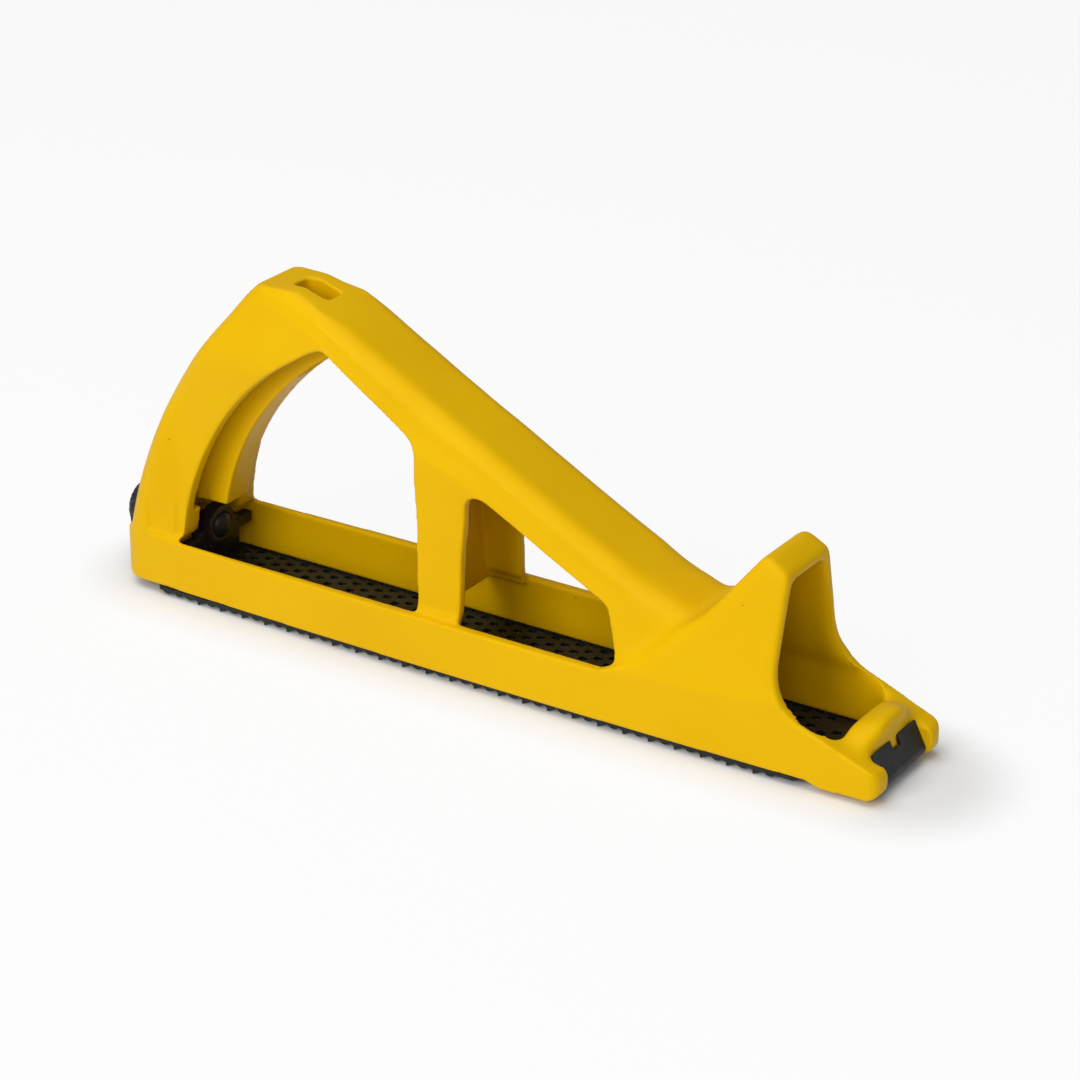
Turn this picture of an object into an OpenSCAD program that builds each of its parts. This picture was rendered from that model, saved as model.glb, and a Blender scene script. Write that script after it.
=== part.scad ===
/* [Blade] */
// Length of the blade from bend to bend
blade_len = 250; // [240:1:262]
// Width of the toothed strip
blade_w = 41; // [38.5:0.5:41.5]
// Width of the bent-up tongues and of the strip between the toe noses
tongue_w = 26; // [20:0.5:28]
// Thickness of the steel
blade_t = 1; // [0.6:0.1:1.2]
// How far the tongues stand above the strip
tongue_h = 9.3; // [7:0.1:10]
// Lean of each tongue towards the middle, degrees from upright
tongue_lean = 27; // [15:1:30]
// Radius outside each bend
bend_r = 2.2; // [1.6:0.1:3]
// How far the teeth stand below the strip
tooth_h = 1.6; // [1:0.1:2]
// Width of one tooth and of the hole in front of it
tooth_w = 2.1; // [1.6:0.1:2.2]
// Distance between teeth along the blade
tooth_pitch = 8.5; // [8:0.5:12]
// Distance between rows of teeth
row_pitch = 2.4; // [2.3:0.1:5]
// Length of each hole
hole_len = 2.6; // [2:0.1:4]
// Length of one tooth where it leaves the strip
tooth_len = 3; // [2:0.1:4]
// Flat left on each tooth tip
tip_land = 0.5; // [0.2:0.1:0.8]
// Plain margin down each side of the blade
margin = 1.4; // [1:0.1:3]
// Length at the front that is only as wide as the tongue
neck_len = 24; // [20:1:30]
// Width of the locating notch in each tongue
notch_w = 4.4; // [3.6:0.1:6]
// Depth of the locating notch
notch_d = 2.8; // [2:0.1:4]

/* [Sole and rails] */
// Height of the side rails
rail_h = 16; // [14:0.5:18]
// How far each rail laps over the blade
seat_w = 1.85; // [1:0.05:2.5]
// Thickness of the rails at mid length
rail_t = 3.55; // [3:0.05:4.5]
// How much each rail is set in near both ends
end_taper = 1.6; // [0.5:0.1:2]
// How far the heel reaches behind the blade
heel_reach = 12.7; // [12:0.1:14]
// How far the noses reach in front of the blade
nose_reach = 1.8; // [0.5:0.1:3]
// Thickness of the heel wall
heel_wall = 4.2; // [3:0.1:5]
// Corner radius of the heel seen from above
heel_corner_r = 8; // [3:0.5:10]
// Rounding under the heel
heel_foot_r = 5; // [2:0.5:7]

/* [Arch and grip] */
// Radius of the back of the arch
arch_r = 152.5; // [148:0.5:160]
// How far the centre of that radius lies below the rails
arch_drop = 10.3; // [8:0.1:13]
// Thickness of the skin along the back of the arch
arch_skin = 5; // [4:0.5:7]
// Thickness of the arch's side walls
arch_wall = 5; // [4:0.1:6]
// Slope of the grip, degrees
grip_angle = 28.2; // [27:0.1:29]
// Height of the grip's top over the middle of the blade, above the rails' underside
grip_z = 65.5; // [64:0.5:68]
// Width across the top of the grip
grip_w = 29; // [27:0.5:30]
// How far each inclined side of the grip spreads
grip_flare = 3.3; // [2:0.1:4]
// How far the arch's feet are set in from the sides of the rails
foot_step = 2.1; // [1.9:0.1:2.6]
// Radius of the grip's top edges
edge_r = 6; // [3:0.5:7]
// Radius of the edges down the back of the arch
back_edge_r = 6; // [3:0.5:7]
// Depth of the grip's inclined sides
flare_depth = 16; // [12:0.5:20]
// Radius of the crown over the back of the hand
crown_r = 66; // [60:1:80]
// Place where the crown begins, behind the middle of the blade
crown_x = 55; // [52:1:58]
// Radius of the crown's back corner
crown_corner_r = 6; // [3:0.5:8]
// Thickness of the grip's top skin
skin = 4.2; // [3:0.1:5]
// Length of the hanging slot
slot_len = 12.5; // [10:0.5:14]
// Width of the hanging slot
slot_w = 7.6; // [6:0.2:8]
// Place of the slot's middle, behind the middle of the blade
slot_x = 73.6; // [72:0.2:76]

/* [Windows and post] */
// Radius of the back of the hand opening
hand_r = 88.6; // [86:0.2:91]
// Place of that radius behind the middle of the blade
hand_x = 24.5; // [23:0.5:26]
// Height of that radius above the rails' underside
hand_z = 6.3; // [5:0.1:8]
// Thickness of the grip over the hand opening
grip_t = 9.6; // [9:0.1:12]
// Back edge of the post at its foot, behind the middle of the blade
post_back = 24.3; // [22:0.1:26]
// Lean of the post's back edge, degrees
post_lean = 5; // [2:0.5:8]
// Front edge of the post, behind the middle of the blade
post_front = 8.1; // [6:0.1:10]
// Thickness of the post's web
web_t = 3.6; // [3:0.1:5]
// Thickness of the walls of post and grip
wall = 3.8; // [3:0.1:4.5]
// Thickness of the grip over the front window
front_t = 11; // [10:0.1:14]
// Front of the front window at the rails, ahead of the middle of the blade
window_front = 42.5; // [38:0.5:44]
// Lean of the front window's front edge, degrees
window_lean = 17; // [10:1:25]
// Corner radius of the windows
window_r = 4; // [2:0.5:6]
// How far arch and post lap down inside the rails
lap = 1.5; // [1:0.1:3]

/* [Pillar and feet] */
// Width of the central pillar and rib
pillar_w = 11; // [9.6:0.2:12]
// How far the pillar stands out from the arch walls
pillar_proud = 4.4; // [2:0.1:5]
// Height of the pillar's foot above the rails' underside
pillar_z = 25; // [24.5:0.1:28]
// Width of the solid foot on each side of the tension gear
foot_t = 9.6; // [8:0.1:10.5]
// Radius of each foot's front corner on the rails
foot_r = 3; // [1:0.5:4]
// Depth at the rails of the recess outside each foot
recess_d = 0.65; // [0.3:0.05:0.8]
// Width of that recess
recess_w = 7; // [5:0.5:8]
// Place of its middle, behind the middle of the blade
recess_x = 122.4; // [121:0.1:123]
// Width of the narrow groove in front of that recess
groove_w = 1.8; // [1:0.1:2]
// Depth of that groove at the rails
groove_d = 0.4; // [0.2:0.05:0.6]
// Place of its middle, behind the middle of the blade
groove_x = 114.8; // [114:0.1:116]

/* [Horn and toe] */
// Radius of the valley between grip and horn
valley_r = 18; // [14:0.5:22]
// Place where the valley leaves the grip, ahead of the middle of the blade
valley_x = 50; // [48:0.5:52]
// Slope of the horn's back, degrees
horn_angle = 53.7; // [52:0.1:56]
// Height of the horn above the rails' underside
horn_z = 60; // [58:0.5:63]
// Rounding along the horn's top
horn_tip_r = 3; // [2:0.5:4]
// Fall of the horn's top towards the front, degrees
horn_fall = 30; // [25:1:40]
// Width the horn's sides would have at its top
horn_w = 23.2; // [22:0.2:26]
// Front of the horn, ahead of the middle of the blade
horn_front = 93; // [91:0.5:96]
// Radius of the flank that runs from the rails up to the horn
flank_r = 85; // [75:1:100]
// Height of the centre of the sweep below the horn's front
front_z = 29.5; // [28:0.5:32]
// Radius of that sweep
front_r = 14; // [11:0.5:15]
// Slope of the toe's top, degrees
toe_angle = 21; // [18:1:23]
// Thickness of the horn's side walls
horn_wall = 4.4; // [3:0.1:5]
// Height of the scoop's upper edge
scoop_z = 52.3; // [50:0.1:53]
// Place of the scoop's lower lip, behind the blade's front bend
lip_back = 13.7; // [12:0.1:15]
// Height of that lip
lip_z = 14.4; // [13:0.1:15]
// Height of the brow over the front tongue
brow_z = 17.3; // [16:0.1:18]
// Radius of the brow seen from the front
brow_r = 20; // [17:0.5:26]
// Rounding of the noses
nose_r = 3.8; // [2:0.1:4]
// How far the noses hang below the rails
skirt_d = 1.2; // [0.5:0.1:1.5]
// Width of the nib that locates the front tongue
nib_w = 2.6; // [2:0.1:3]

/* [Tension gear] */
// Height of the draw bolt above the rails' underside
bolt_z = 15.4; // [14.5:0.1:16]
// Radius of the bolt
bolt_r = 3; // [2:0.1:3.4]
// Radius of the bolt's domed head
head_r = 4; // [3.8:0.1:5]
// Height of the domed head
head_h = 3.2; // [2.5:0.1:4]
// Radius of the hook's ring boss
ring_r = 7.5; // [6.5:0.1:8]
// How far the ring boss stands ahead of the claw's top edge
ring_lead = 2.7; // [2:0.1:3.5]
// Thickness of the ring boss
ring_t = 4.5; // [3:0.1:5]
// Depth of the cup in the ring boss
cup_d = 1.4; // [0.5:0.1:2]
// Width of the claw and of its stem
claw_w = 20; // [14:0.5:22]
// Thickness of the stem that carries the claw
stem_t = 3.2; // [2.5:0.1:3.6]
// Gap between each wing of the hook and the rail
wing_gap = 2.15; // [1:0.05:3]
// Height of a wing
wing_h = 3.4; // [2:0.1:4]
// Radius of the knob
knob_r = 12; // [9:0.1:14]
// Width of the knob's rim
knob_rim = 3; // [2.5:0.1:4]
// Height of the knob's dome behind its rim
knob_dome = 3.6; // [3.4:0.1:5]
// Radius where the dome meets the rim
dome_r = 9.6; // [8:0.1:11]
// Radius of the flat on the dome
cap_r = 5.2; // [4.8:0.1:7]
// Number of flutes round the knob
knob_flutes = 16; // [8:1:20]
// Radius of one flute
flute_r = 1.3; // [0.8:0.1:1.6]
// Thickness of the nut
nut_t = 4; // [3:0.1:4.4]
// Width of the nut across its flats
nut_af = 10; // [8:0.5:12]
// Thickness of the washer
washer_t = 0.8; // [0.5:0.1:1.2]
// Radius of the washer
washer_r = 6.5; // [5.5:0.1:7]

/* [Fits] */
// Gap between blade and rails
seat_gap = 0.1; // [0.05:0.01:0.2]
// Gap between each tongue and what it hooks over
hook_gap = 0.15; // [0.05:0.01:0.3]
// Running gap between the bolt and the nut
run_gap = 0.05; // [0.02:0.01:0.1]
// Gap round the bolt in the heel, hook, washer and knob
bolt_gap = 0.2; // [0.1:0.05:0.4]
// Gap between knob, washer and heel
face_gap = 0.05; // [0.02:0.01:0.1]

/* [Hidden] */
$fn = 48;
// One overrun serves all cuts
over = blade_t;
// A length that reaches past the whole part
far = 2 * blade_len;
// Height of the rails' underside above the tooth tips
sole_z = tooth_h + blade_t + seat_gap;
front_bend = blade_len / 2;
channel_w = blade_w - 2 * seat_w;
body_w = channel_w + 2 * rail_t;
end_w = body_w - 2 * end_taper;
foot_w = body_w - 2 * foot_step;
feet_gap = foot_w - 2 * foot_t;
wing_span = channel_w - 2 * wing_gap;
heel_x = -front_bend - heel_reach;
nose_x = front_bend + nose_reach;
lip_x = front_bend - lip_back;
lap_z = rail_h - lap;

function arc(c, r, a0, a1, n = 12) =
  [for (i = [0 : n]) let (a = a0 + (a1 - a0) * i / n) c + r * [cos(a), sin(a)]];
function angle_of(c, p) = atan2(p[1] - c[1], p[0] - c[0]);
// Where two circles cross, on the upper left side
function meet(c1, r1, c2, r2) =
  let (d = norm(c2 - c1), u = (c2 - c1) / d, k = (d * d + r1 * r1 - r2 * r2) / (2 * d),
       h = sqrt(r1 * r1 - k * k))
  c1 + k * u + h * [u[1], -u[0]];
// Where a line through p, in direction u, leaves a circle
function leaves(c, r, p, u) =
  let (b = (p - c) * u) p + u * (sqrt(b * b - (p - c) * (p - c) + r * r) - b);
// Where a line through p in direction u crosses one through q in direction v
function crossing(p, u, q, v) =
  p + u * ((q[0] - p[0]) * v[1] - (q[1] - p[1]) * v[0]) / (u[0] * v[1] - u[1] * v[0]);
// The corner b between a and c, rounded to radius r
function bend(a, b, c, r, n = 6) =
  let (u = (a - b) / norm(a - b), v = (c - b) / norm(c - b), half = acos(u * v) / 2,
       o = b + (u + v) / norm(u + v) * r / sin(half), s = r / tan(half),
       a0 = angle_of(o, b + s * u), turn = angle_of(o, b + s * v) - a0,
       sweep = turn > 180 ? turn - 360 : turn < -180 ? turn + 360 : turn)
  arc(o, r, a0, a0 + sweep, n);
// A closed outline from corners [x, z, radius]
function rounded(corners, n = 6) =
  let (m = len(corners), xy = [for (c = corners) [c[0], c[1]]])
  [for (i = [0 : m - 1]) each corners[i][2] > 0
    ? bend(xy[(i + m - 1) % m], xy[i], xy[(i + 1) % m], corners[i][2], n) : [xy[i]]];
// Points followed by their mirror images across the first or the second axis
function both(points, side = [-1, 1]) =
  concat(points, [for (i = [len(points) - 1 : -1 : 0]) [points[i][0] * side[0], points[i][1] * side[1]]]);

// Places that several shapes share
arch_c = [heel_x + arch_r, -arch_drop];
function arch_x(z, r = arch_r) = arch_c[0] - sqrt(r * r - pow(z + arch_drop, 2));
function arch_a(z, r = arch_r) = 180 - asin((z + arch_drop) / r);
grip_run = [cos(grip_angle), -sin(grip_angle)];
function grip_line(x, depth = 0) = grip_z - x * tan(grip_angle) - depth / cos(grip_angle);
crown_c = [-crown_x, grip_line(-crown_x)] - crown_r * [sin(grip_angle), cos(grip_angle)];
corner_c = meet(arch_c, arch_r - crown_corner_r, crown_c, crown_r - crown_corner_r);
crown_slope = grip_angle / 3;
crown_tip = crown_c + crown_r * [sin(crown_slope), cos(crown_slope)];
valley_start = [valley_x, grip_line(valley_x)];
valley_c = valley_start + valley_r * [sin(grip_angle), cos(grip_angle)];
horn_run = [cos(horn_angle), sin(horn_angle)];
horn_in = [sin(horn_angle), -cos(horn_angle)];
horn_start = valley_c + valley_r * horn_in;
flank_c = horn_start - flank_r * horn_in;
flank_x = flank_c[0] + sqrt(flank_r * flank_r - pow(flank_c[1] - rail_h, 2));
sweep_c = [horn_front + front_r, front_z];
sweep_end = sweep_c - front_r * [sin(toe_angle), cos(toe_angle)];
nose_top = crossing(sweep_end, [cos(toe_angle), -sin(toe_angle)], [nose_x, 0], [0, 1]);
// The arch's side walls lean in by this angle
wall_lean = atan((foot_w - grip_w) / 2 / (crown_c[1] + crown_r - rail_h));
// The front tongue: where its bend ends, its top, and the face that it hooks over
bend_c = [front_bend - bend_r, bend_r - blade_t - seat_gap];
lean_out = [cos(tongue_lean), sin(tongue_lean)];
lean_up = [-sin(tongue_lean), cos(tongue_lean)];
tongue_foot = bend_c + bend_r * lean_out;
tongue_z = tongue_h - seat_gap;
tongue_top = tongue_foot + lean_up * (tongue_z - tongue_foot[1]) / cos(tongue_lean);
seat_foot = tongue_foot - (blade_t + hook_gap) * lean_out;
function seat_x(z) = seat_foot[0] - (z - seat_foot[1]) * tan(tongue_lean);
// Faces of the heel, washer and knob along the bolt
washer_x = heel_x - face_gap;
knob_x = washer_x - washer_t - face_gap;
ring_x = seat_x(tongue_z) - ring_lead;

// A side view, thickened across the body
module across(w) {
  rotate([90, 0, 0]) linear_extrude(height = w, center = true) children();
}
// A front view, run along the body
module lengthways() {
  rotate([90, 0, 90]) linear_extrude(height = far, center = true) children();
}
// A cross-section run along a slope that passes through p
module along_slope(p, angle) {
  translate([p[0], 0, p[1]]) rotate([0, angle, 0]) lengthways() children();
}
// A plan view, from one height up to another
module upright(z0, z1) {
  translate([0, 0, z0]) linear_extrude(height = z1 - z0) children();
}
// A round bar or hole along the bolt's axis
module round_x(r, x0, x1) {
  translate([x0, 0, bolt_z]) rotate([0, 90, 0]) cylinder(r = r, h = x1 - x0);
}

// Rounded top edges and inclined sides, seen along a slope of the grip
slant = grip_flare / (flare_depth - edge_r);
module grip_section() {
  top = grip_w / 2;
  polygon(both(concat(arc([top - edge_r, -edge_r], edge_r, 90, 0, 8),
    [[top + slant * blade_len, -edge_r - blade_len], [top + slant * blade_len, -far]])));
}
// The hollow under the grip's skin
module core_section() {
  top = grip_w / 2 - wall;
  polygon(both([[top - edge_r / 2, -skin], [top, -edge_r],
    [top + slant * blade_len, -edge_r - blade_len], [top + slant * blade_len, -far]]));
}
// Leaning side walls, seen from the front
module arch_section(inset = 0) {
  polygon(both([[grip_w / 2 - inset, crown_c[1] + crown_r], [foot_w / 2 - inset, rail_h],
    [foot_w / 2 - inset, -rail_h]]));
}
module horn_section(inset = 0) {
  rise = horn_z - rail_h;
  top = horn_w / 2 - inset;
  foot = body_w / 2 - inset;
  polygon(both([[top - (foot - top) / 2, horn_z + rise / 2], [foot, rail_h], [foot, -rail_h]]));
}

module grip_outline() {
  polygon(concat(
    arc(arch_c, arch_r, arch_a(lap_z), angle_of(arch_c, corner_c), 20),
    arc(corner_c, crown_corner_r, angle_of(arch_c, corner_c), angle_of(crown_c, corner_c), 6),
    arc(crown_c, crown_r, angle_of(crown_c, corner_c), 90 - grip_angle, 10),
    [valley_start, horn_start, [valley_c[0], lap_z]]));
}
module hand_outline() {
  post_foot = [-post_back, lap_z - over];
  roof = [0, grip_line(0, grip_t)];
  post_top = crossing(post_foot, [-sin(post_lean), cos(post_lean)], roof, grip_run);
  hand_c = [-hand_x, hand_z];
  tip = leaves(hand_c, hand_r, roof, -grip_run);
  past_tip = angle_of(hand_c, tip) + window_r;
  foot_x = hand_c[0] - sqrt(hand_r * hand_r - pow(rail_h + foot_r - hand_z, 2));
  polygon(concat([post_foot], bend(post_foot, post_top, tip, 2 * window_r),
    bend(post_top, tip, hand_c + hand_r * [cos(past_tip), sin(past_tip)], window_r),
    arc(hand_c, hand_r, past_tip, 180 - asin((rail_h + foot_r - hand_z) / hand_r), 20),
    arc([foot_x - foot_r, rail_h + foot_r], foot_r, -15, -90, 5), [[foot_x - foot_r, lap_z - over]]));
}
module front_outline() {
  roof = [0, grip_line(0, front_t)];
  back_top = crossing([-post_front, 0], [0, 1], roof, grip_run);
  front_top = crossing([window_front, rail_h], [-sin(window_lean), cos(window_lean)], roof, grip_run);
  polygon(rounded([[-post_front, lap_z - over, 0], [back_top[0], back_top[1], window_r],
    [front_top[0], front_top[1], 2 * window_r], [window_front, rail_h, window_r],
    [window_front - 2 * window_r, lap_z - over, 0]]));
}
// The central rib stands out from the arch and ends above the tension gear
module pillar() {
  r = hand_r - pillar_proud;
  c = [-hand_x, hand_z + pillar_proud / 4];
  back_r = arch_r - arch_skin / 2;
  tip = leaves(c, r, [0, grip_line(0, grip_t)], -grip_run);
  across(pillar_w) polygon(concat(
    arc(c, r, angle_of(c, tip), 180 - asin((pillar_z - c[1]) / r), 20),
    arc(arch_c, back_r, arch_a(pillar_z, back_r), angle_of(arch_c, corner_c), 16),
    [[tip[0], grip_line(tip[0], skin)]]));
}
// Grooves either side of the pillar, open towards the hand
module grooves() {
  inner = arch_r - arch_skin;
  inner_corner = meet(arch_c, inner, crown_c, crown_r - skin);
  difference() {
    intersection() {
      across(foot_w) polygon(concat(
        arc(arch_c, inner, arch_a(pillar_z, inner), angle_of(arch_c, inner_corner), 16),
        arc(crown_c, crown_r - skin, angle_of(crown_c, inner_corner), 90 - grip_angle, 6),
        [[-crown_x, grip_line(-crown_x, grip_t)], [-hand_x - hand_r / 2, pillar_z]]));
      lengthways() arch_section(arch_wall);
    }
    cube([far, pillar_w, far], center = true);
  }
}
// Hollow under the grip and down the front of the post
module core() {
  back = -post_back + web_t;
  back_top = crossing([back, 0], [-sin(post_lean), cos(post_lean)], [0, grip_line(0, skin)], grip_run);
  end_x = window_front - 2 * window_r;
  rear_x = back_top[0] - 2 * web_t;
  intersection() {
    union() {
      across(foot_w) polygon([[back, lap_z - over], back_top, [end_x, grip_line(end_x, skin)],
        [end_x, grip_line(end_x, front_t + over)], [over - post_front, grip_line(-post_front, front_t + over)],
        [over - post_front, lap_z - over]]);
      difference() {
        across(foot_w) polygon([[rear_x, grip_line(rear_x, skin)], [rear_x, grip_line(rear_x, grip_t + over)],
          [-crown_x, grip_line(-crown_x, grip_t + over)], [-crown_x, grip_line(-crown_x, skin)]]);
        cube([far, pillar_w, far], center = true);
      }
    }
    lengthways() arch_section(wall);
    along_slope([0, grip_z], grip_angle) core_section();
  }
}
// Rounds off the two edges down the back of the arch
module back_edges() {
  side = (foot_w / 2 + (rail_h + arch_drop) * tan(wall_lean)) * cos(wall_lean) + seat_gap / 2;
  c = [arch_r - back_edge_r, side - back_edge_r];
  for (m = [0, 1]) mirror([0, m, 0])
    translate([arch_c[0], 0, arch_c[1]]) rotate([90 - wall_lean, 0, 0]) rotate_extrude($fn = 180)
      polygon(concat(arc(c, back_edge_r, 90, 0, 6),
        [[arch_r + 2 * over, c[1]], [arch_r + 2 * over, side + 2 * over], [c[0], side + 2 * over]]));
}
module spine() {
  difference() {
    intersection() {
      across(foot_w + over) grip_outline();
      lengthways() arch_section();
      along_slope([0, grip_z], grip_angle) grip_section();
      along_slope(crown_tip, crown_slope) grip_section();
    }
    back_edges();
    across(far) hand_outline();
    across(far) front_outline();
    grooves();
    core();
  }
}

// Half width of the rails, bowed in plan
function bow(x) = body_w / 2 - (body_w - end_w) / 2 * pow(x / lip_x, 2);
module plan() {
  x0 = heel_x + heel_corner_r;
  x1 = nose_x - nose_r;
  polygon(both(concat([[heel_x, 0]],
    arc([x0, bow(x0) - heel_corner_r], heel_corner_r, 180, 90, 6),
    [for (i = [1 : 11]) let (x = x0 + (x1 - x0) * i / 12) [x, bow(x)]],
    arc([x1, bow(x1) - nose_r], nose_r, 90, 0, 6)), [1, -1]));
}
module horn_outline() {
  top = crossing(horn_start, horn_run, [0, horn_z], [1, 0]);
  brim = crossing(top, [cos(horn_fall), -sin(horn_fall)], [horn_front, 0], [0, 1]);
  neck_x = front_bend - neck_len;
  polygon(concat([[flank_x, 0], [flank_x, rail_h]],
    arc(flank_c, flank_r, angle_of(flank_c, [flank_x, rail_h]), angle_of(flank_c, horn_start), 12),
    bend(horn_start, top, brim, horn_tip_r),
    bend(top, brim, [horn_front, front_z], horn_tip_r),
    arc(sweep_c, front_r, 180, 270 - toe_angle, 8),
    bend(sweep_end, nose_top, [nose_x, 0], nose_r),
    bend(nose_top, [nose_x, -skirt_d], [0, -skirt_d], nose_r),
    [[neck_x + 2 * nose_r, -skirt_d], [neck_x + nose_r, 0]]));
}
module rail_outline() {
  polygon(rounded([[heel_x, 0, heel_foot_r], [heel_x, rail_h, 0], [flank_x + over, rail_h, 0],
    [flank_x + over, 0, 0]]));
}
module brow() {
  face_x = seat_x(tongue_z);
  intersection() {
    across(end_w - 2 * nose_r) polygon([[lip_x, 0], [lip_x, lip_z], [face_x - over, brow_z],
      [face_x, brow_z - over], [face_x, tongue_z], [seat_x(0), 0]]);
    translate([0, 0, brow_z - brow_r]) rotate([0, 90, 0]) cylinder(r = brow_r, h = far, $fn = 96);
  }
}
// Room for the blade between the noses, and for the front tongue
module toe_room() {
  back = front_bend - neck_len;
  face_x = seat_x(tongue_z);
  across(tongue_w + 4 * hook_gap) polygon(concat(
    [[back, -skirt_d - over], [back, 0]], bend([back, 0], [seat_x(0), 0], [face_x, tongue_z], bend_r),
    [[face_x, tongue_z], [face_x, horn_z], [nose_x + over, horn_z], [nose_x + over, -skirt_d - over]]));
}
// The nib fills the notch of the front tongue
module nib() {
  low = tongue_z - notch_d + 2 * hook_gap;
  reach = (blade_t + hook_gap) / cos(tongue_lean);
  across(nib_w) polygon([[seat_x(low) - over, low], [seat_x(low) + reach / 2, low],
    [seat_x(tongue_z) + reach, tongue_z], [seat_x(tongue_z) - over, tongue_z + over]]);
}
module scoop_room() {
  wall_start = horn_start + horn_wall * horn_in;
  top = crossing(wall_start, horn_run, [0, scoop_z], [1, 0]);
  intersection() {
    across(body_w) polygon(concat([[flank_x + 3 * horn_wall, -over], [flank_x + 3 * horn_wall, rail_h]],
      bend([flank_x + 3 * horn_wall, rail_h], wall_start, top, horn_tip_r * horn_wall),
      bend(wall_start, top, [lip_x, scoop_z], horn_tip_r), [[lip_x, scoop_z], [lip_x, -over]]));
    lengthways() horn_section(horn_wall);
    upright(-over, horn_z) polygon(rounded([[0, -channel_w / 2, 0], [lip_x, -channel_w / 2, 2 * nose_r],
      [lip_x, channel_w / 2, 2 * nose_r], [0, channel_w / 2, 0]]));
  }
}
module channel() {
  back = heel_x + heel_wall;
  upright(-over, rail_h + over) polygon(rounded([[back, -channel_w / 2, heel_wall],
    [lip_x, -channel_w / 2, 2 * nose_r], [lip_x, channel_w / 2, 2 * nose_r], [back, channel_w / 2, heel_wall]]));
}
module base() {
  difference() {
    union() {
      intersection() {
        upright(0, rail_h) plan();
        across(body_w) rail_outline();
      }
      intersection() {
        upright(-skirt_d, horn_z + over) plan();
        across(body_w) horn_outline();
        lengthways() horn_section();
      }
      brow();
    }
    channel();
    toe_room();
  }
}
// Room between the feet for the tension gear
module heel_room() {
  inner = arch_r - heel_wall;
  across(feet_gap) polygon(concat([[-hand_x - hand_r / 2, -over], [heel_x + heel_wall, -over]],
    arc(arch_c, inner, arch_a(0, inner), arch_a(pillar_z, inner), 6), [[-hand_x - hand_r / 2, pillar_z]]));
}
// The walls lean in above these upright cuts, so each one fades out
module side_recesses() {
  for (m = [0, 1], cut = [[recess_x, recess_w, recess_d], [groove_x, groove_w, groove_d]]) {
    half = cut[1] / 2;
    mirror([0, m, 0]) translate([-cut[0], foot_w / 2, 0]) upright(rail_h, grip_z)
      polygon(both([[half, cut[2]], [half - cut[2], -cut[2]]]));
  }
}
module hanging_slot() {
  upright(pillar_z, grip_z + crown_r) union() {
    translate([-slot_x, 0]) square([slot_len - slot_w / 2, slot_w], center = true);
    for (end = [-1, 1], side = [-1, 1])
      translate([end * (slot_len / 2 - slot_w / 4) - slot_x, side * slot_w / 4]) circle(r = slot_w / 4);
    translate([-slot_x, 0]) square([slot_len, slot_w / 2], center = true);
  }
}

module body() {
  color([0.90, 0.72, 0.02]) translate([0, 0, sole_z]) difference() {
    union() {
      base();
      difference() {
        spine();
        heel_room();
      }
      pillar();
      // Pad that takes the thrust of the knob
      round_x(washer_r + face_gap, heel_x, arch_x(bolt_z, arch_r - heel_wall));
      nib();
    }
    scoop_room();
    hanging_slot();
    side_recesses();
    round_x(bolt_r + bolt_gap, heel_x - over, heel_x + heel_reach);
  }
}

// Rows of teeth step forward by a fixed share of the pitch
stagger_share = 0.45;
row_count = floor((channel_w / 2 + tooth_w) / row_pitch);
function row_xs(row) =
  let (w = abs(row * row_pitch) + tooth_w / 2 + margin,
       first = -front_bend + bend_r + hole_len + 2 * tooth_len,
       last = (w < tongue_w / 2 ? front_bend - bend_r : front_bend - neck_len) - 2 * tooth_len,
       shift = row * stagger_share * tooth_pitch)
  [for (i = [ceil((first - shift) / tooth_pitch) : floor((last - shift) / tooth_pitch)])
    i * tooth_pitch + shift];
module blade_plan() {
  back = bend_r - front_bend;
  neck = front_bend - neck_len;
  edge = blade_w / 2;
  slim = tongue_w / 2;
  difference() {
    polygon(both([[back, edge - over], [back + over, edge], [neck, edge], [neck + edge - slim, slim],
      [front_bend - bend_r, slim]], [1, -1]));
    for (row = [-row_count : row_count], x = row_xs(row))
      translate([x - tip_land / 2 - hole_len / 2, row * row_pitch]) square([hole_len, tooth_w], center = true);
  }
}
// One row of teeth: upright cutting face, small land, long ramp
module tooth_row(row) {
  translate([0, row * row_pitch, 0]) across(tooth_w)
    for (x = row_xs(row)) polygon([[x - tip_land / 2, -tooth_h], [x + tip_land / 2, -tooth_h],
      [x - tip_land / 2 + tooth_len, 0], [x - tip_land / 2, 0]]);
}
module tongue() {
  inner = bend_r - blade_t;
  tip = tongue_top - blade_t * lean_out;
  difference() {
    across(tongue_w) polygon(concat(arc(bend_c, bend_r, -90, tongue_lean, 8), [tongue_top, tip],
      arc(bend_c, inner, tongue_lean, -90, 8)));
    across(notch_w) polygon([tongue_top + notch_d * [1, 0], tongue_top + notch_d * [0, 1],
      tongue_top - 2 * notch_d * [1, 0], tongue_top - notch_d * lean_up - over * lean_out,
      tongue_top - notch_d * lean_up + over * lean_out]);
  }
}
module blade() {
  color([0.06, 0.06, 0.065]) {
    translate([0, 0, tooth_h]) {
      upright(0, blade_t) blade_plan();
      for (row = [-row_count : row_count]) tooth_row(row);
    }
    for (m = [0, 1]) mirror([m, 0, 0]) translate([0, 0, sole_z]) tongue();
  }
}

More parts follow.
